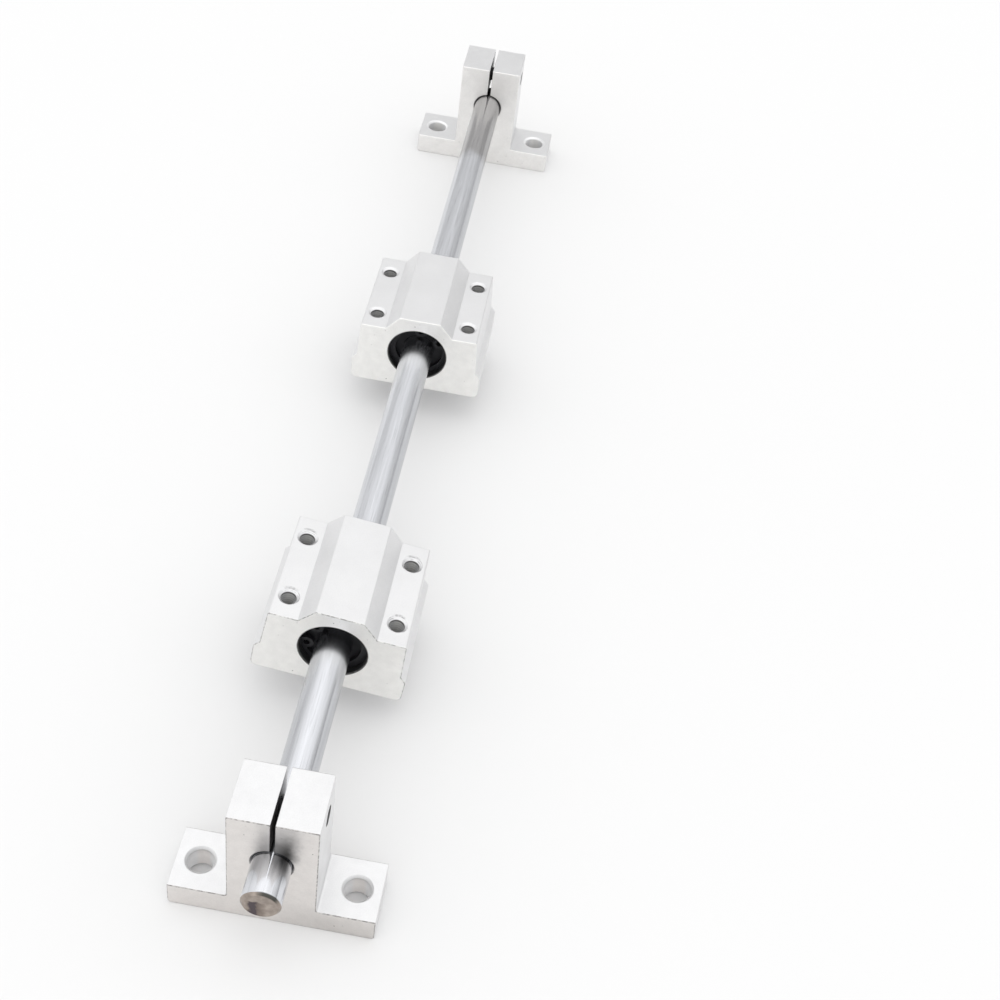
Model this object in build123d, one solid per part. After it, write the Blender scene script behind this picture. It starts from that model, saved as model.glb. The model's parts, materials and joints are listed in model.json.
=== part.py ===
from build123d import *
import os
from math import cos, radians, sin

# A linear rail: a round shaft clamped in two supports, with two ball bearing blocks on it.
# X runs along the shaft, with the near end at +X. Z is up, and the supports stand on Z = 0.
# The origin is under the middle of the rail's overall length. All sizes are in millimetres.

# Shaft
SHAFT_D = 8.0
SHAFT_LENGTH = 300.0
SHAFT_CHAMFER = 0.5
SHAFT_OVERHANG = 9.2            # the near end stands this far out of the near support
FAR_ENGAGEMENT = 5.8            # the far end reaches this far into the far support

# Where the blocks stand on the shaft
NEAR_BLOCK_GAP = 40.5           # from the near support to the near block
BLOCK_GAP = 73.3                # between the two blocks
NEAR_BLOCK_ROLL = -6.5          # degrees about +X
FAR_BLOCK_ROLL = 0.0

# Shaft support: a foot with a split tower
AXIS_HEIGHT = 20.0
FOOT_WIDTH = 42.0
FOOT_THICKNESS = 6.0
FOOT_CORNER_R = 0.8
TOWER_WIDTH = 18.0
JAW_HEIGHT = 8.8                # from the top of the bore to the top of the tower
TOWER_ROOT_R = 0.6
SUPPORT_LENGTH = 14.0
SLOT_WIDTH = 1.0
CLAMP_CLEARANCE = 0.02
CLAMP_BORE_CHAMFER = 0.4
FOOT_HOLE_D = 5.5
FOOT_HOLE_SPACING = 32.0
FOOT_HOLE_CHAMFER = 0.5

# Clamp screw, a socket head cap screw across the slot
SCREW_D = 4.0
SCREW_LENGTH = 12.0
SCREW_POINT_CHAMFER = 0.5
HEAD_D = 7.0
HEAD_HEIGHT = 4.0
HEAD_EDGE_R = 0.3
SOCKET_ACROSS_FLATS = 3.0
SOCKET_DEPTH = 2.0
SCREW_SHARE = 0.39              # how far up the jaws the screw crosses, as a share of their height
SCREW_SETBACK = 1.2             # the screw crosses this far behind the support's middle
SCREW_HOLE_D = 4.5
THREAD_CLEARANCE = 0.03
COUNTERBORE_D = 7.4
COUNTERBORE_DEPTH = 4.2

# Bearing block housing
BLOCK_LENGTH = 30.0
BLOCK_WIDTH = 34.0
BLOCK_HEIGHT = 22.0
BLOCK_AXIS_HEIGHT = 11.0        # from the base to the shaft's axis
BASE_CORNER_R = 1.5
LEDGE_HEIGHT = 6.4
LEDGE_TOP = 8.0
LEDGE_STEP = 1.25               # the ledge stands this far out of the side above it
LEDGE_R = 0.6
WING_HEIGHT = 18.0
WING_SPAN = 30.4
WING_CORNER_R = 0.4
CROWN_WIDTH = 10.6
CROWN_FOOT_WIDTH = 17.4
CROWN_CORNER_R = 0.3
BLOCK_HOLE_D = 3.3
BLOCK_HOLE_ACROSS = 24.0
BLOCK_HOLE_ALONG = 18.0
BLOCK_HOLE_CHAMFER = 0.65
BORE_MOUTH_CHAMFER = 0.25
EDGE_BREAK = 0.15               # on the sawn ends of the supports and the housings

# Linear ball bearing
BEARING_D = 15.0
BEARING_LENGTH = 24.0
BEARING_CHAMFER = 0.4
HOUSING_CLEARANCE = 0.025
SLEEVE_GROOVE_D = 14.3
SLEEVE_GROOVE_WIDTH = 1.1
SLEEVE_GROOVE_SPAN = 17.5       # over the outer edges of the two grooves
BALL_D = 1.5
BALL_CLEARANCE = 0.02
BALL_ROWS = 4
BALLS_IN_ROW = 9
BALL_PITCH = 1.55
FIRST_ROW_ANGLE = 45.0
POCKET_CLEARANCE = 0.05
RETAINER_BORE_D = 8.6
RETAINER_CLEARANCE = 0.05
SEAL_D = 13.4
SEAL_THICKNESS = 1.7
SEAL_RECESS = 0.1
SEAL_CLEARANCE = 0.02
LIP_CLEARANCE = 0.05

# Internal circlips that hold the bearing in the housing
CIRCLIP_GROOVE_D = 15.7
CIRCLIP_GROOVE_WIDTH = 1.1
CIRCLIP_THICKNESS = 1.0
CIRCLIP_CLEARANCE = 0.02
CIRCLIP_WIDE = 2.0              # radial width opposite the gap
CIRCLIP_NARROW = 1.2            # radial width beside the lugs
LUG_R = 1.6
LUG_PLACE_R = 6.2               # from the shaft's axis to a lug's eye
LUG_HALF_ANGLE = 28.0           # between the gap's middle and a lug's eye
EYE_D = 1.5
NEAR_GAP_ANGLES = (166.0, 75.0)     # front and back circlip, from +Y towards +Z
FAR_GAP_ANGLES = (60.0, 115.0)

# Places that follow from the sizes above
shaft_r = SHAFT_D / 2
support_pitch = SHAFT_LENGTH - SHAFT_OVERHANG - FAR_ENGAGEMENT
overall_length = SHAFT_OVERHANG + support_pitch + SUPPORT_LENGTH
shaft_near_x = overall_length / 2
near_support_x = shaft_near_x - SHAFT_OVERHANG - SUPPORT_LENGTH / 2
far_support_x = near_support_x - support_pitch
near_block_x = near_support_x - SUPPORT_LENGTH / 2 - NEAR_BLOCK_GAP - BLOCK_LENGTH / 2
far_block_x = near_block_x - BLOCK_LENGTH - BLOCK_GAP
bore_top = AXIS_HEIGHT + shaft_r
tower_height = bore_top + JAW_HEIGHT
screw_height = bore_top + SCREW_SHARE * JAW_HEIGHT

ALONG_X = Rot(0, 90, 0)         # turns a piece made along Z to lie along X
HEAD_TO_LEFT = Rot(90, 0, 0)    # turns a piece made along Z to point along -Y


def ring(outer_r, inner_r, length):
    """A tube along X, with its middle at the origin."""
    return ALONG_X * (Cylinder(outer_r, length) - Cylinder(inner_r, length))


def flared_hole(radius, depth, flare):
    """The space of a through hole along Z with a chamfer at both mouths, its middle at the origin."""
    half = depth / 2
    outline = Polyline(
        (0, 0, -half),
        (radius + flare, 0, -half),
        (radius, 0, flare - half),
        (radius, 0, half - flare),
        (radius + flare, 0, half),
        (0, 0, half),
        close=True,
    )
    return revolve(make_face(outline), Axis.Z)


def sawn_length(profile, length):
    """An extrusion along X of a profile drawn in Y and Z, with the edges of its two ends broken."""
    bar = extrude(Plane.YZ.offset(-length / 2) * profile, amount=length)
    ends = bar.faces().filter_by(Axis.X)
    return chamfer(ends.edges(), EDGE_BREAK)


def corners_at(profile, across, height):
    """The pair of a profile's corners at a distance to each side and a height."""
    tolerance = 0.001
    return [
        corner for corner in profile.vertices()
        if abs(abs(corner.X) - across) < tolerance and abs(corner.Y - height) < tolerance
    ]


def shaft():
    bar = Cylinder(shaft_r, SHAFT_LENGTH)
    bar = chamfer(bar.edges().filter_by(GeomType.CIRCLE), SHAFT_CHAMFER)
    return Pos(shaft_near_x - SHAFT_LENGTH / 2, 0, AXIS_HEIGHT) * ALONG_X * bar


def support():
    foot_to_tower = (Align.CENTER, Align.MIN)
    profile = Rectangle(FOOT_WIDTH, FOOT_THICKNESS, align=foot_to_tower)
    profile += Rectangle(TOWER_WIDTH, tower_height, align=foot_to_tower)
    profile = fillet(corners_at(profile, FOOT_WIDTH / 2, 0), FOOT_CORNER_R)
    profile = fillet(corners_at(profile, TOWER_WIDTH / 2, FOOT_THICKNESS), TOWER_ROOT_R)
    body = sawn_length(profile, SUPPORT_LENGTH)

    bore = flared_hole(shaft_r + CLAMP_CLEARANCE, SUPPORT_LENGTH, CLAMP_BORE_CHAMFER)
    body -= Pos(0, 0, AXIS_HEIGHT) * ALONG_X * bore
    slot = Box(
        SUPPORT_LENGTH, SLOT_WIDTH, tower_height - AXIS_HEIGHT,
        align=(Align.CENTER, Align.CENTER, Align.MIN),
    )
    body -= Pos(0, 0, AXIS_HEIGHT) * slot
    for side in (-1, 1):
        hole = flared_hole(FOOT_HOLE_D / 2, FOOT_THICKNESS, FOOT_HOLE_CHAMFER)
        body -= Pos(0, side * FOOT_HOLE_SPACING / 2, FOOT_THICKNESS / 2) * hole
    return body - screw_space()


def screw_space():
    """The counterbore and clearance hole in the left jaw and the threaded hole in the right one."""
    half = TOWER_WIDTH / 2
    down = (Align.CENTER, Align.CENTER, Align.MAX)
    up = (Align.CENTER, Align.CENTER, Align.MIN)
    space = Pos(0, 0, half) * Cylinder(COUNTERBORE_D / 2, COUNTERBORE_DEPTH, align=down)
    space += Cylinder(SCREW_HOLE_D / 2, half, align=up)
    space += Cylinder(SCREW_D / 2 + THREAD_CLEARANCE, half, align=down)
    return Pos(-SCREW_SETBACK, 0, screw_height) * HEAD_TO_LEFT * space


def clamp_screw():
    down = (Align.CENTER, Align.CENTER, Align.MAX)
    up = (Align.CENTER, Align.CENTER, Align.MIN)
    head = Cylinder(HEAD_D / 2, HEAD_HEIGHT, align=up)
    head = fillet(head.edges().filter_by(GeomType.CIRCLE).sort_by(Axis.Z)[-1], HEAD_EDGE_R)
    hexagon = RegularPolygon(SOCKET_ACROSS_FLATS / 2, 6, major_radius=False)
    head -= extrude(Pos(0, 0, HEAD_HEIGHT - SOCKET_DEPTH) * hexagon, amount=SOCKET_DEPTH)
    shank = Cylinder(SCREW_D / 2, SCREW_LENGTH, align=down)
    shank = chamfer(shank.edges().filter_by(GeomType.CIRCLE).sort_by(Axis.Z)[0], SCREW_POINT_CHAMFER)
    seat_to_left = TOWER_WIDTH / 2 - COUNTERBORE_DEPTH
    return Pos(-SCREW_SETBACK, -seat_to_left, screw_height) * HEAD_TO_LEFT * (head + shank)


def housing_profile():
    base = BLOCK_WIDTH / 2
    side = base - LEDGE_STEP
    right = [
        (base, 0),
        (base, LEDGE_HEIGHT),
        (side, LEDGE_TOP),
        (WING_SPAN / 2, WING_HEIGHT),
        (CROWN_FOOT_WIDTH / 2, WING_HEIGHT),
        (CROWN_WIDTH / 2, BLOCK_HEIGHT),
    ]
    left = [(-across, height) for across, height in reversed(right)]
    profile = make_face(Polyline(*right, *left, close=True))
    profile = fillet(corners_at(profile, base, 0), BASE_CORNER_R)
    profile = fillet(corners_at(profile, base, LEDGE_HEIGHT), LEDGE_R)
    profile = fillet(corners_at(profile, WING_SPAN / 2, WING_HEIGHT), WING_CORNER_R)
    return fillet(corners_at(profile, CROWN_WIDTH / 2, BLOCK_HEIGHT), CROWN_CORNER_R)


def housing():
    """The housing with its base on Z = 0 and its middle over the origin."""
    body = sawn_length(housing_profile(), BLOCK_LENGTH)
    bore = flared_hole(BEARING_D / 2 + HOUSING_CLEARANCE, BLOCK_LENGTH, BORE_MOUTH_CHAMFER)
    body -= Pos(0, 0, BLOCK_AXIS_HEIGHT) * ALONG_X * bore
    for end in (-1, 1):
        groove = ring(CIRCLIP_GROOVE_D / 2, BEARING_D / 2 - HOUSING_CLEARANCE, CIRCLIP_GROOVE_WIDTH)
        body -= Pos(end * circlip_place(), 0, BLOCK_AXIS_HEIGHT) * groove
        for side in (-1, 1):
            hole = flared_hole(BLOCK_HOLE_D / 2, WING_HEIGHT, BLOCK_HOLE_CHAMFER)
            across = side * BLOCK_HOLE_ACROSS / 2
            body -= Pos(end * BLOCK_HOLE_ALONG / 2, across, WING_HEIGHT / 2) * hole
    return Pos(0, 0, -BLOCK_AXIS_HEIGHT) * body


def circlip_place():
    """From the bearing's middle to the middle of a circlip groove, which starts at the bearing's end."""
    return BEARING_LENGTH / 2 + CIRCLIP_GROOVE_WIDTH / 2


def circlip(gap_angle):
    """An internal circlip across X, with its gap at an angle from +Y towards +Z."""
    outer_r = CIRCLIP_GROOVE_D / 2 - CIRCLIP_CLEARANCE
    shift = (CIRCLIP_WIDE - CIRCLIP_NARROW) / 2
    inner_r = outer_r - (CIRCLIP_WIDE + CIRCLIP_NARROW) / 2
    reach = 2 * outer_r
    turn = radians(LUG_HALF_ANGLE)
    gap = make_face(Polyline(
        (0, 0),
        (reach * cos(turn), reach * sin(turn)),
        (reach, 0),
        (reach * cos(turn), -reach * sin(turn)),
        close=True,
    ))
    shape = Circle(outer_r) - Pos(shift, 0) * Circle(inner_r) - gap
    for side in (-1, 1):
        eye = Pos(LUG_PLACE_R * cos(turn), side * LUG_PLACE_R * sin(turn))
        shape += (eye * Circle(LUG_R)) & Circle(outer_r)
        shape -= eye * Circle(EYE_D / 2)
    flat = Rot(0, 0, gap_angle) * shape
    return extrude(Plane.YZ.offset(-CIRCLIP_THICKNESS / 2) * flat, amount=CIRCLIP_THICKNESS)


def bearing_sleeve():
    """The hardened outer sleeve, with a seat for a seal in each end and two grooves outside."""
    bar = Cylinder(BEARING_D / 2, BEARING_LENGTH)
    bar = ALONG_X * chamfer(bar.edges().filter_by(GeomType.CIRCLE), BEARING_CHAMFER)
    bar -= ALONG_X * Cylinder(race_r(), BEARING_LENGTH)
    seat_depth = SEAL_THICKNESS + SEAL_RECESS
    for end in (-1, 1):
        seat = ALONG_X * Cylinder(SEAL_D / 2, seat_depth)
        bar -= Pos(end * (BEARING_LENGTH - seat_depth) / 2, 0, 0) * seat
        groove = ring(BEARING_D / 2, SLEEVE_GROOVE_D / 2, SLEEVE_GROOVE_WIDTH)
        bar -= Pos(end * (SLEEVE_GROOVE_SPAN - SLEEVE_GROOVE_WIDTH) / 2, 0, 0) * groove
    return bar


def ball_place_r():
    return shaft_r + BALL_CLEARANCE + BALL_D / 2


def race_r():
    return ball_place_r() + BALL_D / 2 + BALL_CLEARANCE


def row_turns():
    return [Rot(FIRST_ROW_ANGLE + row * 360 / BALL_ROWS, 0, 0) for row in range(BALL_ROWS)]


def ball_retainer():
    """The moulded retainer between the seals, with a pocket through its wall for each row of balls."""
    length = BEARING_LENGTH - 2 * (SEAL_THICKNESS + SEAL_RECESS + RETAINER_CLEARANCE)
    body = ring(race_r() - RETAINER_CLEARANCE, RETAINER_BORE_D / 2, length)
    pocket_width = BALL_D + 2 * POCKET_CLEARANCE
    pocket_length = (BALLS_IN_ROW - 1) * BALL_PITCH + pocket_width
    pocket = Box(pocket_length, pocket_width, race_r(), align=(Align.CENTER, Align.CENTER, Align.MIN))
    for turn in row_turns():
        body -= turn * pocket
    return body


def bearing_balls():
    """The balls that carry the load, in rows along the shaft."""
    balls = []
    for turn in row_turns():
        for number in range(BALLS_IN_ROW):
            along = (number - (BALLS_IN_ROW - 1) / 2) * BALL_PITCH
            balls.append(turn * Pos(along, 0, ball_place_r()) * Sphere(BALL_D / 2))
    return Compound(balls)


def seal(end):
    """An end seal in its seat, at the end of the bearing that end (-1 or 1) names."""
    along = BEARING_LENGTH / 2 - SEAL_RECESS - SEAL_THICKNESS / 2
    body = ring(SEAL_D / 2 - SEAL_CLEARANCE, shaft_r + LIP_CLEARANCE, SEAL_THICKNESS)
    return Pos(end * along, 0, 0) * body


def bearing_block(name, along, roll, gap_angles):
    """The nodes of one block: the bearing, and the housing and circlips, which are turned by roll."""
    middle = Pos(along, 0, AXIS_HEIGHT)
    turned = middle * Rot(roll, 0, 0)
    front, back = gap_angles
    return {
        name + "_housing": turned * housing(),
        name + "_front_circlip": turned * Pos(circlip_place(), 0, 0) * circlip(front),
        name + "_back_circlip": turned * Pos(-circlip_place(), 0, 0) * circlip(back),
        name + "_bearing_sleeve": middle * bearing_sleeve(),
        name + "_ball_retainer": middle * ball_retainer(),
        name + "_bearing_balls": middle * bearing_balls(),
        name + "_front_seal": middle * seal(1),
        name + "_back_seal": middle * seal(-1),
    }


def rail():
    nodes = {"shaft": shaft()}
    for name, along in (("near", near_support_x), ("far", far_support_x)):
        nodes[name + "_support"] = Pos(along, 0, 0) * support()
        nodes[name + "_clamp_screw"] = Pos(along, 0, 0) * clamp_screw()
    nodes.update(bearing_block("near", near_block_x, NEAR_BLOCK_ROLL, NEAR_GAP_ANGLES))
    nodes.update(bearing_block("far", far_block_x, FAR_BLOCK_ROLL, FAR_GAP_ANGLES))
    return nodes


os.makedirs("parts", exist_ok=True)
for node, solid in rail().items():
    export_step(solid, f"parts/{node}.step")
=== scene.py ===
"""The looks of a linear shaft rail: blasted aluminium supports and blocks on a chromed shaft."""
import json
import math

import bpy
from mathutils import Matrix, Vector


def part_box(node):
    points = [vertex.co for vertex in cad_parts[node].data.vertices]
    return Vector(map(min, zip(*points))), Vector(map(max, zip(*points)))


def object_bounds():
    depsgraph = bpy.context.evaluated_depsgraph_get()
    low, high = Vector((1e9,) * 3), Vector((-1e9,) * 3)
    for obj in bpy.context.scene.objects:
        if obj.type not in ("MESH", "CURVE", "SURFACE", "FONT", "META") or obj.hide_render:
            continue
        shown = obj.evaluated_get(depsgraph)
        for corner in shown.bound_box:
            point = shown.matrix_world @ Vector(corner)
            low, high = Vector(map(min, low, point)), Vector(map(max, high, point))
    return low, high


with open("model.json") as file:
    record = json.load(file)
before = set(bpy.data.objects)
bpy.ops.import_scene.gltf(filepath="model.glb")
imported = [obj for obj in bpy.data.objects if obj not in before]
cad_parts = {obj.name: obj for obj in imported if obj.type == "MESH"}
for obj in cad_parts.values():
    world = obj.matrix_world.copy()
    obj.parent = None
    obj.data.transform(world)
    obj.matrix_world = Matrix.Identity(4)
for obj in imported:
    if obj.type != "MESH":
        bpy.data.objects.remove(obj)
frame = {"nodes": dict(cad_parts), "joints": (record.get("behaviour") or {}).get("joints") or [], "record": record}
cad_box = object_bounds()
MM = 0.001
SIDES = ("near", "far")

# Camera, from the photograph's perspective, measured from under the near support's middle
CAMERA_PLACE = Vector((0.17678, 0.03777, 0.29027))
CAMERA_AIM = Vector((-0.12347, 0.02817, 0.0))
CAMERA_ROLL = math.radians(8.88)
LENS_MM = 58.54
SENSOR_MM = 36.0
CLIP_START = 0.01

# Studio. The sky starts at HORIZON, takes four levels on each side, keeps the last of them for a while,
# and ends in a bright panel overhead. Its heights are sines of the elevation.
HORIZON = 1.05
OVERHEAD = 1.6
SKY_HEIGHTS = (0.0, 0.05, 0.35, 0.55, 0.8, 0.9, 0.96)
SKY_LEVELS = {
    "X": ((0.50, 0.52, 0.74, 1.36), (1.10, 1.14, 1.20, 1.28)),    # beyond the rail, and on the camera's side
    "Y": ((1.05, 1.20, 1.32, 1.36), (0.50, 1.02, 1.34, 1.36)),    # on the left, and on the right
}
LEAST_LEAN = 0.0001                         # keeps the zenith from a division by zero
FLOOR_WHITE = 0.80
FLOOR_CLOUD = {"size": 0.5, "ends": (0.0, 1.0), "low": FLOOR_WHITE - 0.004, "high": FLOOR_WHITE + 0.004}
FLOOR_SIZE = 40.0
FLOOR_ROUGH = 0.9

# Colours, as linear values
ALUMINIUM = (0.80, 0.80, 0.805)
# The two supports are alike: their sawn ends are lit and shaded copies of one finish, the far one painted lighter
SUPPORT_CUT = {"near": (0.79, 0.763, 0.742), "far": (0.895, 0.885, 0.87)}
BLOCK_CUT = (0.94, 0.935, 0.915)
CHROME = (0.685, 0.695, 0.725)
FAR_END_TINT = (0.66, 0.64, 0.615)            # a tint
TURNED_STEEL = (0.385, 0.33, 0.29)
# the painted reflection on the shaft's end: a dark wedge in a brown one
WEDGE_BROWN = (0.16, 0.125, 0.105)
WEDGE_DARK = (0.085, 0.068, 0.075)
BURR_DARK = (0.055, 0.06, 0.055)
BLACK_OXIDE = (0.012, 0.012, 0.014)
PHOSPHATE = (0.012, 0.012, 0.014)
BEARING_STEEL = (0.42, 0.42, 0.43)
RESIN = (0.012, 0.012, 0.013)
RUBBER = (0.010, 0.010, 0.012)

# Patterns are noise with features of a size, spread from low to high between two values of the noise
NOISE_ENDS = (0.3, 0.7)
SPOT_CORE = 0.6                             # the share of a spot's radius where it is full

# Blasted aluminium and its sawn ends
CLOUD = {"size": 9 * MM, "detail": 3.0, "low": 0.97, "high": 1.01}
GRAIN = {"size": 0.25 * MM, "low": 0.97, "high": 1.02}
MOTTLE = {
    "size": 2.2 * MM, "detail": 4.0, "roughness": 0.6,
    "ends": (0.35, 0.65), "low": -0.028, "high": 0.02,
}
PIT_SPACING = 2.2 * MM
PIT_RADIUS = 0.2 * MM
PIT_DEPTH = {"size": 5 * MM, "ends": (0.45, 0.6), "low": 0.0, "high": 0.6}
CUT_FACING = (0.8, 0.95)                    # how far a sawn face looks along the shaft
BREAK_FACING = (0.8, 0.9)                   # its broken edges look that way less
BREAK_DEPTH = (0.18 * MM, 0.135 * MM)       # they start this far in from a sawn end, and are full here
EDGE_REACH = 0.3 * MM                       # of the darkening along the sawn edges
EDGE_MEET = (0.88, 0.995)
EDGE_DARKENING = 0.6
EDGE_DARK = {"near": 0.68, "far": 0.06}
EDGE_NICKS = {
    "size": 0.9 * MM, "detail": 3.0, "roughness": 0.65,
    "ends": (0.40, 0.60), "low": 0.3, "high": 1.0,
}
GLINT = {"near": 0.14 * MM, "far": 0.32 * MM}    # how far the edges are rounded over
ALUMINIUM_ROUGH = {"size": 1.5 * MM, "low": 0.40, "high": 0.50}
BLAST = {"size": 0.16 * MM, "detail": 3.0, "roughness": 0.6}
BLAST_DEPTH, BLAST_STRENGTH = 0.012 * MM, 0.8
WAVE = {"size": 1.2 * MM}
WAVE_DEPTH, WAVE_STRENGTH = 0.014 * MM, 0.6
SCRATCH = {"size": 0.3 * MM}
SCRATCH_STRETCH = (1, 0.06, 1)
SCRATCH_DEPTH, SCRATCH_STRENGTH = 0.016 * MM, 0.6

# Supports
FRONT_SKIN = (0.4 * MM, 0.1 * MM)           # a mark on the front ends this far behind it, and is full here
# Painted shade in and around the supports' bores, and in their screw holes
BORE_FADE = (0.02 * MM, 0.45 * MM)          # past the bore's wall
BORE_SHADE = 0.4
SCREW_HOLE_FADE = (2.05 * MM, 2.3 * MM)     # from the screw's axis
SCREW_HOLE_SHADE = 0.3
# Painted shade in the narrow slot, in front of its screw
SLOT_EDGE = (0.52 * MM, 0.6 * MM)           # from the slot's middle
SLOT_FOOT = 0.1 * MM                        # above the axis
SLOT_FADE = 1 * MM                          # to both sides of the screw
SLOT_PAINTED_SHADE = 0.55
PLUME_HEIGHTS = (24.2 * MM, 33.5 * MM)      # the dark plume beside the near slot, darkest at its foot
PLUME_REACH = {"right": (2.6 * MM, 6.4 * MM), "left": (0.9 * MM, 4.2 * MM)}    # where it fades, and ends
PLUME_FOOT = {"right": 0.74, "left": 0.30}
PLUME_TOP = {"right": 0.15, "left": 0.09}
PLUME_START = (0.8 * MM, 3.0 * MM)          # above the axis
PLUME_RAGGED = {"size": 1.6 * MM, "detail": 3.0, "low": -0.5 * MM, "high": 0.5 * MM}
FOOT_SHADOW = 0.13                            # a painted shadow on the right end of the near support's foot
FOOT_SHADOW_HEIGHTS = (3 * MM, 9 * MM)
FOOT_SHADOW_START = (-2 * MM, 10 * MM)
FOOT_WALL = (0.02 * MM, 0.6 * MM)           # past the foot holes' radius
FOOT_WALL_DULL = 0.9
# Painted light and shade in the foot holes: the near walls painted lighter low down and the far ones darker, a
# darker line at the near rims, and a painted highlight on the far chamfers
FOOT_WALL_HEIGHTS = (3.4 * MM, 4.8 * MM)
FOOT_WALL_LIGHT = {"near": (1.2, 1.0), "far": (0.85, 0.95)}    # at these two heights
FOOT_RIM_HEIGHTS = (4.9 * MM, 5.3 * MM)
FOOT_RIM_LIGHT = {"near": 0.72, "far": 1.0}
FOOT_MOUTH_START = (0.02 * MM, 0.1 * MM)    # the chamfers of the holes' mouths
FOOT_MOUTH_END = (0.5 * MM, 0.8 * MM)
FOOT_MOUTH_LIGHT = {"near": 1.0, "far": 1.2}

# Blocks. Heights are from a block's axis, and radii from its tapped holes' axes
# Painted shade in the blocks' bores
BLOCK_BORE_FADE = (7.7 * MM, 7.95 * MM)
BLOCK_BORE_SHADE = 0.14
TAPPED_FADE = (1.68 * MM, 1.8 * MM)
HOLE_MOUTH = 7.0 * MM
# The threads in the tapped holes are painted light and shade, darker towards and under their mouths
THREAD_PITCH = 0.7 * MM
THREAD_LIGHT = {"near": 0.76, "far": 0.6}
THREAD_ROOT = 0.78                          # the light in its roots, as a share of that on its crests
THREAD_TOP = (HOLE_MOUTH - 2.5 * MM, HOLE_MOUTH - 0.5 * MM)
THREAD_TOP_LIGHT = 0.72
THREAD_RIM = (HOLE_MOUTH - 1.05 * MM, HOLE_MOUTH - 0.85 * MM)
THREAD_RIM_LIGHT = 0.22
TOOL_RING_PITCH = 0.32 * MM                 # the rings that the countersink left
TOOL_RING_DARK = {"near": 0.5, "far": 0.12}
TOOL_RING_WAVE = (0.1, 0.7)
TOOL_RING_START = (1.75 * MM, 1.85 * MM)
TOOL_RING_END = (2.45 * MM, 2.55 * MM)
TOOL_RING_BREAKS = {"size": 1.6 * MM, "ends": (0.48, 0.62), "low": 0.0, "high": 1.0}
SMUDGE_DARK = {"near": 0.4, "far": 0.0}     # behind each tapped hole
SMUDGE_ARC = (0.72, 0.98)                   # the cosine of its turn from straight behind
SMUDGE_START = (2.15 * MM, 2.3 * MM)
SMUDGE_END = (2.6 * MM, 3.0 * MM)
SMUDGE_BREAKS = {"size": 0.7 * MM, "detail": 3.0, "ends": (0.40, 0.62), "low": 0.2, "high": 1.0}
NICK_PLACE = (15 * MM, 17 * MM, 7 * MM)     # the top corners, from the block's middle
NICK_FADE = (0.5 * MM, 1.0 * MM)
NICK_DARK = {"near": 0.7, "far": 0.0}

# Shaft. Turns are about its axis, from straight up towards the right
END_FACING = (0.4, 0.68)                    # how far an end face looks along the shaft
PLATING_STRETCH = (0.03, 1, 1)
# Painted reflections: streaks along the chrome
REFLECTION_STREAKS = {"size": 0.8 * MM, "detail": 3.0, "ends": (0.35, 0.65), "low": 0.93, "high": 1.04}
FINE_REFLECTION_STREAKS = {"size": 0.28 * MM, "ends": (0.58, 0.70), "low": 1.0, "high": 0.86}
CLAMP_EDGE = 0.5 * MM                       # the painted shade on the shaft inside the clamps, fading at their mouths
CLAMP_SHADE = 0.2
STUB_EDGE = 0.5 * MM
STUB_REFLECTIONS = {                               # painted dark reflections on the near stub: turn, half width, reach, depth
    "left": (math.radians(-34), math.radians(40), 7.5 * MM, 0.46),
    "right": (math.radians(42), math.radians(34), 6.5 * MM, 0.84),
}
STUB_REFLECTION_CORE = 0.2                        # the share of its half width where it is full
STUB_REFLECTION_FADE = 0.25                       # the share of its reach where it starts to fade
FLANK_SHADE_TURNS = {                              # painted shade on the shaft's sides: turns where it starts and is full
    "left": (math.radians(12), math.radians(32)),
    "right": (math.radians(35), math.radians(62)),
}
FLANK_DARK = 0.2
TINT_REACH = 34 * MM                      # the brown-grey tint, from the far support
TINT_FADE = (-4 * MM, 3 * MM)
TINT_RAGGED = {"size": 3 * MM, "low": -0.8 * MM, "high": 0.8 * MM}
TURNED_CLOUD = {"size": 1.6 * MM, "detail": 3.0, "ends": (0.35, 0.65), "low": 0.78, "high": 1.15}
# The painted reflection on the end face, a dark wedge in a brown one on its lower left
WEDGE_RAGGED = {"size": 1.2 * MM, "low": -0.3 * MM, "high": 0.3 * MM}
WEDGE_TOP = (0.8 * MM, 1.2 * MM)
WEDGE_BROWN_START = (-3.2 * MM, -2.0 * MM)
WEDGE_BROWN_END = (-0.4 * MM, 1.6 * MM)
WEDGE_BROWN_DEPTH = 0.8
WEDGE_DARK_START = (-2.5 * MM, -2.0 * MM)
WEDGE_DARK_END = (-0.9 * MM, -0.5 * MM)
BURR_TURN = math.radians(26)                # the dark burr around the near end
BURR_HALF = math.radians(32)
BURR_FADE = 0.2
BURR_DEPTH = 0.9
BURR_ALONG = (0.75 * MM, 0.55 * MM)         # back from the end
BURR_IN = (0.5 * MM, 0.4 * MM)              # in from the shaft's surface
CHROME_ROUGH = (0.20, 0.12)                 # between the supports, and on the stub
CHROME_ROUGH_EDGE = 1 * MM
TURNED_ROUGH = 0.32
TURNING_PITCH = 0.18 * MM
TURNING_DEPTH, TURNING_STRENGTH = 0.004 * MM, 0.6
PLATING = {"size": 0.5 * MM}
PLATING_DEPTH, PLATING_STRENGTH = 0.0012 * MM, 0.5
ANISOTROPIC = 0.75
ANISOTROPIC_TURN = 0.25

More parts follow.
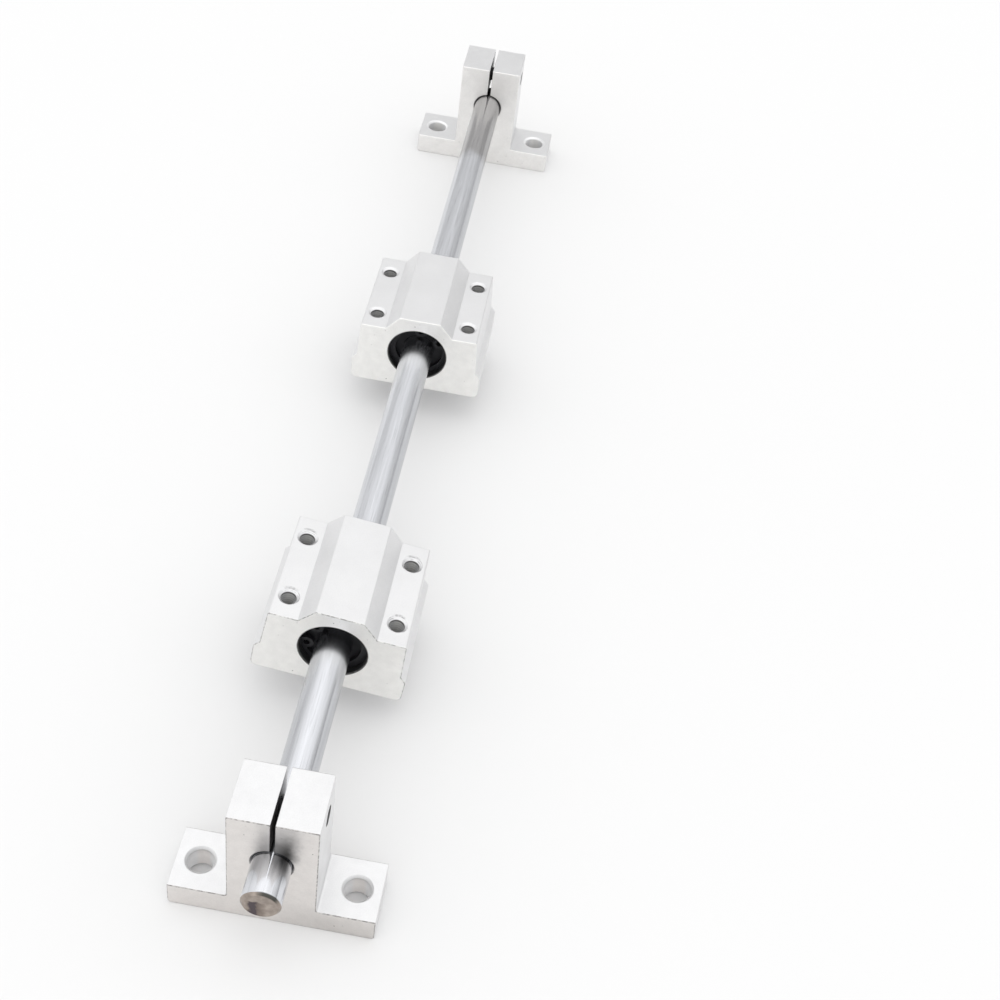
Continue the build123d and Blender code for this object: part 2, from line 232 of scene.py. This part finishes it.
# Black finishes, bearing steel, resin and rubber
FINISH_CLOUD = {"size": 0.9 * MM, "detail": 3.0, "low": 0.8, "high": 1.5}
OXIDE_ROUGH = (0.32, 0.45)
PHOSPHATE_ROUGH = (0.34, 0.5)
FINISH_ROUGH_SIZE = 0.5 * MM
FINISH_GRAIN = {"size": 0.12 * MM}
FINISH_DEPTH, FINISH_STRENGTH = 0.006 * MM, 0.5
FINISH_METALLIC = 0.1
FINISH_SPECULAR = 0.25
GROUND_STRETCH = (1, 0.05, 0.05)
GROUND_LINES = {"size": 0.12 * MM}
GROUND_LIGHT = (0.9, 1.08)
GROUND_ROUGH = (0.2, 0.34)
GROUND_DEPTH, GROUND_STRENGTH = 0.002 * MM, 0.5
MOULDED_CLOUD = {"size": 1.4 * MM, "low": 0.75, "high": 1.5}
RESIN_ROUGH = (0.4, 0.5)
RUBBER_ROUGH = (0.5, 0.65)
MOULDED_ROUGH_SIZE = 0.7 * MM
RESIN_GRAIN = 0.2 * MM
RUBBER_GRAIN = 0.14 * MM
MOULDED_DEPTH, MOULDED_STRENGTH = 0.01 * MM, 0.5
MOULDED_SPECULAR = 0.2


class Graph:
    """Adds and links the nodes of one material or world."""

    def __init__(self, owner):
        owner.use_nodes = True
        self.tree = owner.node_tree
        self.tree.nodes.clear()

    def add(self, kind, inputs=None, **settings):
        node = self.tree.nodes.new(kind)
        for name, value in settings.items():
            setattr(node, name, value)
        for name, value in (inputs or {}).items():
            self.feed(node.inputs[name], value)
        return node

    def feed(self, socket, value):
        if isinstance(value, bpy.types.NodeSocket):
            self.tree.links.new(value, socket)
        else:
            socket.default_value = value

    def math(self, operation, *values):
        node = self.add("ShaderNodeMath", operation=operation)
        for socket, value in zip(node.inputs, values):
            self.feed(socket, value)
        return node.outputs[0]

    def product(self, first, *others):
        for other in others:
            first = self.math("MULTIPLY", first, other)
        return first

    def rest(self, dark):
        """The light that a darkening leaves."""
        return self.math("SUBTRACT", 1.0, dark)

    def where(self, share, value):
        """The value where share is 1, and 1 where share is 0."""
        change = self.product(share, self.math("SUBTRACT", value, 1.0))
        return self.math("ADD", 1.0, change)

    def vector_math(self, operation, *values, output="Vector"):
        node = self.add("ShaderNodeVectorMath", operation=operation)
        for socket, value in zip(node.inputs, values):
            self.feed(socket, value)
        return node.outputs[output]

    def parts(self, vector):
        """The outputs X, Y and Z of a vector."""
        return self.add("ShaderNodeSeparateXYZ", {"Vector": vector}).outputs

    def scaled(self, vector, factor):
        node = self.add("ShaderNodeVectorMath", {0: vector, "Scale": factor}, operation="SCALE")
        return node.outputs[0]

    def stretched(self, vector, factors):
        return self.add("ShaderNodeMapping", {"Vector": vector, "Scale": factors}).outputs[0]

    def mix(self, factor, first, second):
        node = self.add("ShaderNodeMix", data_type="RGBA")
        for place, value in ((0, factor), (6, first), (7, second)):
            if place and isinstance(value, tuple):
                value = (*value, 1.0)
            self.feed(node.inputs[place], value)
        return node.outputs[2]

    def scale(self, value, low, high, new_low, new_high, interpolation="LINEAR"):
        node = self.add("ShaderNodeMapRange", {
            "Value": value, "From Min": low, "From Max": high, "To Min": new_low, "To Max": new_high,
        }, interpolation_type=interpolation)
        return node.outputs[0]

    def soft_scale(self, value, low, high, new_low, new_high):
        return self.scale(value, low, high, new_low, new_high, "SMOOTHSTEP")

    def above(self, value, low, high, level=1.0):
        """0 up to low, rising to the level at high."""
        return self.scale(value, low, high, 0.0, level)

    def below(self, value, low, high, level=1.0):
        """The level up to low, falling to 0 at high."""
        return self.scale(value, low, high, level, 0.0)

    def noise(self, vector, size, detail=2.0, roughness=0.5):
        """Noise with features of about this size in metres."""
        node = self.add("ShaderNodeTexNoise", {
            "Vector": vector, "Scale": 1 / size, "Detail": detail, "Roughness": roughness,
        })
        return node.outputs["Fac"]

    def pattern(self, vector, low, high, ends=NOISE_ENDS, **noise):
        """Noise that is spread from low to high."""
        return self.scale(self.noise(vector, **noise), *ends, low, high)

    def spots(self, vector, spacing, radius):
        """1 inside round spots of this radius, which lie about a spacing apart, and 0 outside."""
        node = self.add("ShaderNodeTexVoronoi", {"Vector": vector, "Scale": 1 / spacing})
        edge = radius / spacing
        return self.below(node.outputs["Distance"], edge * SPOT_CORE, edge)

    def bevel(self, radius):
        """The surface's normal, with its edges rounded over."""
        return self.add("ShaderNodeBevel", {"Radius": radius}, samples=4).outputs[0]

    def bump(self, height, distance, strength, normal=None):
        inputs = {"Height": height, "Distance": distance, "Strength": strength}
        if normal is not None:
            inputs["Normal"] = normal
        return self.add("ShaderNodeBump", inputs).outputs[0]

    def principled(self, inputs):
        shader = self.add("ShaderNodeBsdfPrincipled", inputs)
        output = self.add("ShaderNodeOutputMaterial")
        self.feed(output.inputs["Surface"], shader.outputs[0])


def mount(name):
    return next(m for m in frame["record"]["mounts"] if m["name"] == name)


def place_in_row(graph):
    """A point's place in the row's frame at rest, in metres."""
    return graph.add("ShaderNodeTexCoord").outputs["Object"]


def from_axis(graph, place, direction=(1, 0, 0)):
    """A place's distance from a line through the origin."""
    along = graph.vector_math("DOT_PRODUCT", place, direction, output="Value")
    off = graph.vector_math("SUBTRACT", place, graph.scaled(direction, along))
    return graph.vector_math("LENGTH", off, output="Value")


def face_turn(graph, axis):
    """How far the surface faces along an axis, from 0 to 1, whichever way."""
    normal = graph.add("ShaderNodeTexCoord").outputs["Normal"]
    along = graph.vector_math("DOT_PRODUCT", normal, axis, output="Value")
    return graph.math("ABSOLUTE", along)


def at_ends(graph, node):
    """1 on the broken edges at the two ends of a CAD node along the shaft, and 0 between them."""
    low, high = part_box(node)
    across = graph.parts(place_in_row(graph))["X"]
    out = graph.math("ABSOLUTE", graph.math("SUBTRACT", across, (low.x + high.x) / 2))
    end = (high.x - low.x) / 2
    return graph.above(out, *(end - inward for inward in BREAK_DEPTH))


def blasted_shade(graph, place, cut):
    """The clouds and grain of the aluminium, with mottles and pits where it is cut."""
    mottle = graph.product(graph.pattern(place, **MOTTLE), cut)
    pits = graph.product(graph.spots(place, PIT_SPACING, PIT_RADIUS), cut, graph.pattern(place, **PIT_DEPTH))
    return graph.product(
        graph.pattern(place, **CLOUD), graph.pattern(place, **GRAIN),
        graph.math("ADD", 1.0, mottle), graph.rest(pits),
    )


def sawn_edge_darkening(graph, place, cut, broken):
    """How much darker the sawn edges are, broken up by nicks."""
    true_normal = graph.add("ShaderNodeNewGeometry").outputs["Normal"]
    meet = graph.vector_math("DOT_PRODUCT", graph.bevel(EDGE_REACH), true_normal, output="Value")
    near_edge = graph.product(graph.below(meet, *EDGE_MEET, EDGE_DARKENING), cut)
    return graph.product(graph.math("MAXIMUM", near_edge, broken), graph.pattern(place, **EDGE_NICKS))


def blasted_normal(graph, place, cut, glint):
    """Rounded edges, the blasted grain, and scratches across the cut faces."""
    scratches = graph.noise(graph.stretched(place, SCRATCH_STRETCH), **SCRATCH)
    normal = graph.bump(graph.noise(place, **BLAST), BLAST_DEPTH, BLAST_STRENGTH, graph.bevel(glint))
    normal = graph.bump(graph.noise(place, **WAVE), WAVE_DEPTH, WAVE_STRENGTH, normal)
    return graph.bump(graph.product(scratches, cut), SCRATCH_DEPTH, SCRATCH_STRENGTH, normal)


def aluminium(name, node, side, cut_colour, place_of, shade_of, dull_of):
    """Blasted and clear anodised aluminium, with sawn ends that are mottled, pitted and scratched.

    node is the CAD node that wears it. place_of gives the point's place on the piece, shade_of the painted
    light and shade of its holes and the darkness of its marks, and dull_of how much it is as dull as the wall of a
    hole.
    """
    material = bpy.data.materials.new(name)
    graph = Graph(material)
    place = place_of(graph)
    along = face_turn(graph, (1, 0, 0))
    cut = graph.above(along, *CUT_FACING)
    broken = graph.product(at_ends(graph, node), graph.below(along, *BREAK_FACING))
    colour = graph.mix(graph.math("MAXIMUM", cut, broken), ALUMINIUM, cut_colour)
    # Darker along the sawn edges, and the painted light and shade of holes and slots from shade_of
    darker_edges = graph.product(sawn_edge_darkening(graph, place, cut, broken), EDGE_DARK[side])
    shade = graph.product(blasted_shade(graph, place, cut), graph.rest(darker_edges), shade_of(graph, place))
    graph.principled({
        "Base Color": graph.scaled(colour, shade),
        "Metallic": graph.rest(dull_of(graph, place)),
        "Roughness": graph.pattern(place, **ALUMINIUM_ROUGH),
        "Normal": blasted_normal(graph, place, cut, GLINT[side]),
    })
    return material


class Support:
    """Where a support's features lie, in metres."""

    def __init__(self, side):
        low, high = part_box(side + "_support")
        shaft_low, shaft_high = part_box("shaft")
        screw_low, screw_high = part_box(side + "_clamp_screw")
        foot_holes = mount(side + "_foot_holes")["dims"]
        self.side = side
        self.front = high.x
        self.middle = (low.x + high.x) / 2
        self.axis_height = (shaft_low.z + shaft_high.z) / 2
        self.bore_r = (shaft_high.z - shaft_low.z) / 2
        self.screw_middle = (screw_low + screw_high) / 2
        self.foot_hole_r = foot_holes["hole_r_mm"] * MM
        self.foot_hole_y = foot_holes["spacing_y_mm"] / 2 * MM


def on_front(graph, parts, support):
    """1 on a support's front face, and 0 behind it."""
    return graph.above(parts["X"], *(support.front - depth for depth in FRONT_SKIN))


def slot_plume(graph, place, support):
    """How dark the plume is that rises on both sides of the slot."""
    ragged = graph.pattern(place, **PLUME_RAGGED)
    parts = graph.parts(place)
    height = graph.math("ADD", parts["Z"], ragged)
    right_way = graph.math("ADD", parts["Y"], ragged)
    on_right = graph.math("GREATER_THAN", parts["Y"], 0.0)
    hands = {
        "right": (right_way, on_right),
        "left": (graph.product(right_way, -1.0), graph.rest(on_right)),
    }
    plume = 0.0
    for hand, (way, here) in hands.items():
        fade = graph.soft_scale(way, *PLUME_REACH[hand], 1.0, 0.0)
        depth = graph.soft_scale(height, *PLUME_HEIGHTS, PLUME_FOOT[hand], PLUME_TOP[hand])
        plume = graph.math("ADD", plume, graph.product(fade, depth, here))
    above_axis = graph.above(parts["Z"], *(support.axis_height + start for start in PLUME_START))
    return graph.product(plume, on_front(graph, parts, support), above_axis)


def foot_painted_shadow(graph, place, support):
    """How dark the painted shadow is on the right end of a foot's front."""
    parts = graph.parts(place)
    low_down = graph.soft_scale(parts["Z"], *FOOT_SHADOW_HEIGHTS, FOOT_SHADOW, 0.0)
    right = graph.soft_scale(parts["Y"], *FOOT_SHADOW_START, 0.0, 1.0)
    return graph.product(on_front(graph, parts, support), low_down, right)


def slot_painted_shade(graph, place, support):
    """How dark the painted shade in the slot is, in front of its screw."""
    parts = graph.parts(place)
    in_slot = graph.below(graph.math("ABSOLUTE", parts["Y"]), *SLOT_EDGE)
    above_axis = graph.above(parts["Z"], support.axis_height, support.axis_height + SLOT_FOOT)
    screw = support.screw_middle.x
    ahead = graph.above(parts["X"], screw - SLOT_FADE, screw + SLOT_FADE, SLOT_PAINTED_SHADE)
    return graph.product(in_slot, above_axis, ahead)


def from_foot_hole(graph, place, support):
    """A place's distance from the axis of the foot hole on its side."""
    mirrored = graph.vector_math("SUBTRACT", place, (support.middle, 0, 0))
    mirrored = graph.vector_math("ABSOLUTE", mirrored)
    hole = graph.vector_math("SUBTRACT", mirrored, (0, support.foot_hole_y, 0))
    return from_axis(graph, hole, (0, 0, 1))


def on_foot_wall(graph, place, support):
    """1 on the walls of the foot holes, and 0 away from them."""
    ends = (support.foot_hole_r + past for past in FOOT_WALL)
    return graph.below(from_foot_hole(graph, place, support), *ends)


def foot_hole_light(graph, place, support):
    """The painted light and shade on the foot holes' walls, and the painted highlight on the chamfers of their
    mouths.
    """
    radius = support.foot_hole_r
    height = graph.parts(place)["Z"]
    wall = graph.scale(height, *FOOT_WALL_HEIGHTS, *FOOT_WALL_LIGHT[support.side])
    rim = graph.scale(height, *FOOT_RIM_HEIGHTS, 1.0, FOOT_RIM_LIGHT[support.side])
    wall = graph.where(on_foot_wall(graph, place, support), graph.product(wall, rim))
    away = from_foot_hole(graph, place, support)
    start = (radius + past for past in FOOT_MOUTH_START)
    end = (radius + past for past in FOOT_MOUTH_END)
    mouth = graph.scale(away, *end, FOOT_MOUTH_LIGHT[support.side], 1.0)
    on_mouth = graph.above(away, *start)
    return graph.product(wall, graph.where(on_mouth, mouth))


def support_shade(graph, place, support):
    """The painted shade of a support's bore, screw hole and slot, the painted light and shade of its foot holes,
    and on the near one the dark plume and the painted shadow on its foot.
    """
    from_shaft = from_axis(graph, graph.vector_math("SUBTRACT", place, (0, 0, support.axis_height)))
    bore = graph.scale(from_shaft, *(support.bore_r + past for past in BORE_FADE), BORE_SHADE, 1.0)
    from_screw = graph.vector_math("SUBTRACT", place, tuple(support.screw_middle))
    hole = graph.scale(from_axis(graph, from_screw, (0, 1, 0)), *SCREW_HOLE_FADE, SCREW_HOLE_SHADE, 1.0)
    shade = graph.product(bore, hole, graph.rest(slot_painted_shade(graph, place, support)))
    if support.side == "near":
        # On the near support: the dark plume beside the slot, and a painted shadow on the foot
        plume = graph.rest(slot_plume(graph, place, support))
        shade = graph.product(shade, plume, graph.rest(foot_painted_shadow(graph, place, support)))
    return graph.product(shade, foot_hole_light(graph, place, support))


def support_material(side):
    support = Support(side)

    def shade(graph, place):
        return support_shade(graph, place, support)

    def dull(graph, place):
        return graph.product(on_foot_wall(graph, place, support), FOOT_WALL_DULL)

    return aluminium(
        side + "_support_aluminium", side + "_support", side, SUPPORT_CUT[side], place_in_row, shade, dull,
    )


def place_on_block(graph, side):
    """A point's place from a block's middle on the shaft's axis, with the block's roll taken out."""
    centre = next(j["pos_m"] for j in frame["joints"] if j["name"] == side + "_block_turn")
    down = mount(side + "_block_base")["axis"]
    roll = math.atan2(down[1], -down[2])
    mapping = graph.add("ShaderNodeMapping", {
        "Vector": place_in_row(graph), "Location": centre, "Rotation": (roll, 0, 0),
    }, vector_type="TEXTURE")
    return mapping.outputs[0]


def tapped_hole_place():
    """The place of a tapped hole from its block's middle. Both blocks are alike."""
    holes = mount("far_block_holes")["dims"]
    return holes["spacing_x_mm"] / 2 * MM, holes["spacing_y_mm"] / 2 * MM, 0


def from_tapped_hole(graph, place):
    """A place's distance from the axis of the tapped hole in its quarter."""
    mirrored = graph.vector_math("ABSOLUTE", place)
    hole = graph.vector_math("SUBTRACT", mirrored, tapped_hole_place())
    return from_axis(graph, hole, (0, 0, 1))


def in_tapped_hole(graph, place):
    return graph.below(from_tapped_hole(graph, place), *TAPPED_FADE)


def thread_painted_shade(graph, place, side):
    """How dark the painted shade is that draws the threads in the tapped holes, most under the holes' mouths."""
    height = graph.parts(place)["Z"]
    turns = graph.math("SINE", graph.product(height, 2 * math.pi / THREAD_PITCH))
    light = graph.product(
        graph.scale(turns, -1.0, 1.0, THREAD_ROOT * THREAD_LIGHT[side], THREAD_LIGHT[side]),
        graph.scale(height, *THREAD_TOP, 1.0, THREAD_TOP_LIGHT),
        graph.scale(height, *THREAD_RIM, 1.0, THREAD_RIM_LIGHT),
    )
    return graph.product(in_tapped_hole(graph, place), graph.rest(light))


def tool_rings(graph, place, side):
    """Broken dark rings on the countersinks, mostly on one side of them."""
    away = from_tapped_hole(graph, place)
    wave = graph.math("SINE", graph.product(away, 2 * math.pi / TOOL_RING_PITCH))
    return graph.product(
        graph.above(wave, *TOOL_RING_WAVE, TOOL_RING_DARK[side]),
        graph.above(away, *TOOL_RING_START), graph.below(away, *TOOL_RING_END),
        graph.pattern(place, **TOOL_RING_BREAKS),
    )


def smudge(graph, place, side):
    """A short smudged arc behind each countersink."""
    away = from_tapped_hole(graph, place)
    parts = graph.parts(place)
    hole_x = graph.product(graph.math("SIGN", parts["X"]), tapped_hole_place()[0])
    behind = graph.math("DIVIDE", graph.math("SUBTRACT", hole_x, parts["X"]), away)
    return graph.product(
        graph.soft_scale(behind, *SMUDGE_ARC, 0.0, SMUDGE_DARK[side]),
        graph.above(away, *SMUDGE_START), graph.below(away, *SMUDGE_END),
        graph.pattern(place, **SMUDGE_BREAKS), graph.math("GREATER_THAN", parts["Z"], 0.0),
    )


def corner_nick(graph, place, side):
    """A small dark nick in each top corner."""
    off = graph.vector_math("SUBTRACT", graph.vector_math("ABSOLUTE", place), NICK_PLACE)
    away = graph.vector_math("LENGTH", off, output="Value")
    in_upper_half = graph.math("GREATER_THAN", graph.parts(place)["Z"], 0.0)
    return graph.product(graph.below(away, *NICK_FADE, NICK_DARK[side]), in_upper_half)


def block_material(side):
    """A housing's aluminium, with painted shade in its machined bore and painted threads in its tapped holes."""

    def shade(graph, place):
        # Painted shade in the bore and the threads; the smudges, nicks and tool rings are marks
        light = graph.scale(from_axis(graph, place), *BLOCK_BORE_FADE, BLOCK_BORE_SHADE, 1.0)
        for mark in (thread_painted_shade, smudge, corner_nick, tool_rings):
            light = graph.product(light, graph.rest(mark(graph, place, side)))
        return light

    return aluminium(
        side + "_block_aluminium", side + "_housing", side, BLOCK_CUT,
        lambda graph: place_on_block(graph, side), shade, in_tapped_hole,
    )


def clamp_painted_shade(graph, across):
    """The light that the painted shade on the shaft leaves inside the clamps."""
    light = 1.0
    for side in SIDES:
        low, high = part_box(side + "_support")
        away = graph.math("ABSOLUTE", graph.math("SUBTRACT", across, (low.x + high.x) / 2))
        half = (high.x - low.x) / 2
        light = graph.product(light, graph.scale(away, half - CLAMP_EDGE, half, CLAMP_SHADE, 1.0))
    return light


def stub_painted_reflection(graph, across, turn, stub, on_stub):
    """The light that the painted dark reflections leave on the near stub."""
    light = 1.0
    for middle, half, reach, depth in STUB_REFLECTIONS.values():
        off = graph.math("ABSOLUTE", graph.math("SUBTRACT", turn, middle))
        around = graph.soft_scale(off, STUB_REFLECTION_CORE * half, half, depth, 0.0)
        ahead = graph.soft_scale(across, stub + STUB_REFLECTION_FADE * reach, stub + reach, 1.0, 0.0)
        light = graph.product(light, graph.rest(graph.product(around, on_stub, ahead)))
    return light


def flank_painted_shade(graph, across, turn, on_stub):
    """The light that the painted shade leaves on the shaft's sides. On the left it ends at the near block."""
    block_low, block_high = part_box("near_housing")
    past_block = graph.soft_scale(across, block_low.x, block_high.x, 0.0, FLANK_DARK)
    left = graph.soft_scale(graph.product(turn, -1.0), *FLANK_SHADE_TURNS["left"], 0.0, 1.0)
    right = graph.soft_scale(turn, *FLANK_SHADE_TURNS["right"], 0.0, FLANK_DARK)
    both = graph.math("ADD", graph.product(left, past_block), right)
    return graph.math("MAXIMUM", graph.rest(both), on_stub)


def plated_colour(graph, place, stretched, across, light):
    """Chrome with streaks of painted reflection and the painted shade passed in as light, with a brown-grey tint
    on its far end.
    """
    reflection_streaks = graph.product(graph.pattern(stretched, **REFLECTION_STREAKS), graph.pattern(stretched, **FINE_REFLECTION_STREAKS))
    plated = graph.scaled(CHROME, graph.product(reflection_streaks, light))
    tinted = graph.vector_math("MULTIPLY", plated, FAR_END_TINT)
    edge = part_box("far_support")[1].x + TINT_REACH
    ragged = graph.math("ADD", across, graph.pattern(place, **TINT_RAGGED))
    far_end = graph.soft_scale(ragged, *(edge + fade for fade in TINT_FADE), 1.0, 0.0)
    return graph.mix(far_end, plated, tinted)


def turned_colour(graph, place, parts, end):
    """Bare turned steel, with a painted reflection on the lower left: a dark wedge in a brown one."""
    turned = graph.scaled(TURNED_STEEL, graph.pattern(place, **TURNED_CLOUD))
    ragged = graph.pattern(place, **WEDGE_RAGGED)
    right_way = graph.math("ADD", parts["Y"], ragged)
    under = graph.product(graph.below(graph.math("ADD", parts["Z"], ragged), *WEDGE_TOP), end)
    brown = graph.product(
        under, graph.above(right_way, *WEDGE_BROWN_START),
        graph.below(right_way, *WEDGE_BROWN_END, WEDGE_BROWN_DEPTH),
    )
    dark = graph.product(
        under, graph.above(right_way, *WEDGE_DARK_START),
        graph.below(right_way, *WEDGE_DARK_END),
    )
    return graph.mix(dark, graph.mix(brown, turned, WEDGE_BROWN), WEDGE_DARK)


def end_burr(graph, across, turn, radius):
    """How much a point is on the dark burr, a crescent around the near end's edge."""
    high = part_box("shaft")[1]
    off = graph.math("ABSOLUTE", graph.math("SUBTRACT", turn, BURR_TURN))
    return graph.product(
        graph.below(off, BURR_HALF - BURR_FADE, BURR_HALF + BURR_FADE, BURR_DEPTH),
        graph.above(across, *(high.x - back for back in BURR_ALONG)),
        graph.above(radius, *(high.y - inward for inward in BURR_IN)),
    )


def shaft_material(name):
    """Polished hard chrome, with bare turned steel on the ends."""
    material = bpy.data.materials.new(name)
    graph = Graph(material)
    place = place_in_row(graph)
    stretched = graph.stretched(place, PLATING_STRETCH)
    low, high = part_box("shaft")
    moved = graph.vector_math("SUBTRACT", place, (0, 0, (low.z + high.z) / 2))
    radius = from_axis(graph, moved)
    parts = graph.parts(moved)
    across = parts["X"]
    turn = graph.math("ARCTAN2", parts["Y"], parts["Z"])
    end = graph.above(face_turn(graph, (1, 0, 0)), *END_FACING)
    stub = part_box("near_support")[1].x
    on_stub = graph.above(across, stub - STUB_EDGE, stub)

    # Painted shade inside the clamps and on the sides, and painted dark reflections on the near stub
    light = graph.product(
        clamp_painted_shade(graph, across), stub_painted_reflection(graph, across, turn, stub, on_stub),
        flank_painted_shade(graph, across, turn, on_stub),
    )
    plated = plated_colour(graph, place, stretched, across, light)
    colour = graph.mix(end, plated, turned_colour(graph, place, parts, end))
    colour = graph.mix(end_burr(graph, across, turn, radius), colour, BURR_DARK)

    rough = graph.scale(across, stub - CHROME_ROUGH_EDGE, stub, *CHROME_ROUGH)
    rough = graph.math("MAXIMUM", rough, graph.above(end, 0.0, 1.0, TURNED_ROUGH))
    turning = graph.math("SINE", graph.product(radius, 2 * math.pi / TURNING_PITCH))
    normal = graph.bump(graph.product(turning, end), TURNING_DEPTH, TURNING_STRENGTH)
    normal = graph.bump(graph.noise(stretched, **PLATING), PLATING_DEPTH, PLATING_STRENGTH, normal)
    around = graph.add("ShaderNodeTangent", direction_type="RADIAL", axis="X").outputs[0]
    graph.principled({
        "Base Color": colour, "Metallic": 1.0, "Roughness": rough, "Normal": normal, "Tangent": around,
        "Anisotropic": ANISOTROPIC, "Anisotropic Rotation": ANISOTROPIC_TURN,
    })
    return material


def black_finish(name, colour, rough):
    """A black finish on steel: oxide on the screws, phosphate on the circlips."""
    material = bpy.data.materials.new(name)
    graph = Graph(material)
    place = place_in_row(graph)
    graph.principled({
        "Base Color": graph.scaled(colour, graph.pattern(place, **FINISH_CLOUD)),
        "Metallic": FINISH_METALLIC,
        "Roughness": graph.pattern(place, *rough, size=FINISH_ROUGH_SIZE),
        "Normal": graph.bump(graph.noise(place, **FINISH_GRAIN), FINISH_DEPTH, FINISH_STRENGTH),
        "Specular IOR Level": FINISH_SPECULAR,
    })
    return material


def bright_steel(name):
    """Ground bearing steel, with fine lines around it."""
    material = bpy.data.materials.new(name)
    graph = Graph(material)
    lines = graph.noise(graph.stretched(place_in_row(graph), GROUND_STRETCH), **GROUND_LINES)
    graph.principled({
        "Base Color": graph.scaled(BEARING_STEEL, graph.scale(lines, *NOISE_ENDS, *GROUND_LIGHT)),
        "Metallic": 1.0,
        "Roughness": graph.scale(lines, *NOISE_ENDS, *GROUND_ROUGH),
        "Normal": graph.bump(lines, GROUND_DEPTH, GROUND_STRENGTH),
    })
    return material


def soft_black(name, colour, rough, grain):
    """Moulded resin or rubber: matt black with a fine grain."""
    material = bpy.data.materials.new(name)
    graph = Graph(material)
    place = place_in_row(graph)
    graph.principled({
        "Base Color": graph.scaled(colour, graph.pattern(place, **MOULDED_CLOUD)),
        "Roughness": graph.pattern(place, *rough, size=MOULDED_ROUGH_SIZE),
        "Normal": graph.bump(graph.noise(place, grain), MOULDED_DEPTH, MOULDED_STRENGTH),
        "Specular IOR Level": MOULDED_SPECULAR,
    })
    return material


def dress(nodes, material):
    for node in nodes:
        mesh = frame["nodes"][node].data
        mesh.materials.clear()
        mesh.materials.append(material)


def dress_all():
    dress(["shaft"], shaft_material("chromed_shaft"))
    dress(["near_clamp_screw", "far_clamp_screw"], black_finish("black_oxide", BLACK_OXIDE, OXIDE_ROUGH))
    phosphate = black_finish("black_phosphate", PHOSPHATE, PHOSPHATE_ROUGH)
    steel = bright_steel("bearing_steel")
    resin = soft_black("retainer_resin", RESIN, RESIN_ROUGH, RESIN_GRAIN)
    rubber = soft_black("seal_rubber", RUBBER, RUBBER_ROUGH, RUBBER_GRAIN)
    for side in SIDES:
        dress([side + "_support"], support_material(side))
        dress([side + "_housing"], block_material(side))
        dress([side + "_front_circlip", side + "_back_circlip"], phosphate)
        dress([side + "_bearing_sleeve", side + "_bearing_balls"], steel)
        dress([side + "_ball_retainer"], resin)
        dress([side + "_front_seal", side + "_back_seal"], rubber)


def add_camera():
    data = bpy.data.cameras.new("camera")
    data.lens = LENS_MM
    data.sensor_width = SENSOR_MM
    data.clip_start = CLIP_START
    data.clip_end = 2 * FLOOR_SIZE
    camera = bpy.data.objects.new("camera", data)
    bpy.context.scene.collection.objects.link(camera)
    support_low, support_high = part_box("near_support")
    under_support = Vector(((support_low.x + support_high.x) / 2, 0, support_low.z))
    look = (CAMERA_AIM - CAMERA_PLACE).to_track_quat("-Z", "Y").to_matrix()
    turned = look @ Matrix.Rotation(CAMERA_ROLL, 3, "Z")
    camera.matrix_world = Matrix.Translation(under_support + CAMERA_PLACE) @ turned.to_4x4()
    bpy.context.scene.camera = camera


def add_floor():
    bpy.ops.mesh.primitive_plane_add(size=FLOOR_SIZE, location=(0, 0, cad_box[0][2]))
    floor = bpy.context.object
    floor.name = "floor"
    material = bpy.data.materials.new("floor_white")
    graph = Graph(material)
    level = graph.pattern(place_in_row(graph), **FLOOR_CLOUD)
    graph.principled({"Base Color": level, "Roughness": FLOOR_ROUGH, "Specular IOR Level": 0.0})
    floor.data.materials.append(material)


def sky_level(graph, height, levels):
    """The sky's brightness at a height on one side, as a share of the panel's overhead."""
    levels = (HORIZON, *levels, levels[-1], OVERHEAD)
    ramp = graph.add("ShaderNodeValToRGB", {"Fac": height})
    while len(ramp.color_ramp.elements) < len(levels):
        ramp.color_ramp.elements.new(0.5)
    for element, place, level in zip(ramp.color_ramp.elements, SKY_HEIGHTS, levels):
        element.position = place
        element.color = (*(3 * [level / OVERHEAD]), 1.0)
    return ramp.outputs[0]


def add_sky():
    """The studio around the rail: each axis weighs as much as a direction leans towards it."""
    world = bpy.data.worlds.new("studio")
    bpy.context.scene.world = world
    graph = Graph(world)
    parts = graph.parts(graph.add("ShaderNodeTexCoord").outputs["Generated"])
    squares = {axis: graph.math("POWER", parts[axis], 2.0) for axis in SKY_LEVELS}
    both = graph.math("MAXIMUM", graph.math("ADD", squares["X"], squares["Y"]), LEAST_LEAN)
    total = 0.0
    for axis, pair in SKY_LEVELS.items():
        ahead = graph.math("GREATER_THAN", parts[axis], 0.0)
        minus, plus = (sky_level(graph, parts["Z"], levels) for levels in pair)
        share = graph.math("DIVIDE", squares[axis], both)
        total = graph.math("MULTIPLY_ADD", graph.mix(ahead, minus, plus), share, total)
    studio = graph.add("ShaderNodeBackground", {
        "Color": (1, 1, 1, 1), "Strength": graph.product(total, OVERHEAD),
    })
    output = graph.add("ShaderNodeOutputWorld")
    graph.feed(output.inputs["Surface"], studio.outputs[0])


bpy.context.scene.view_settings.view_transform = "Standard"
add_camera()
add_floor()
add_sky()
dress_all()
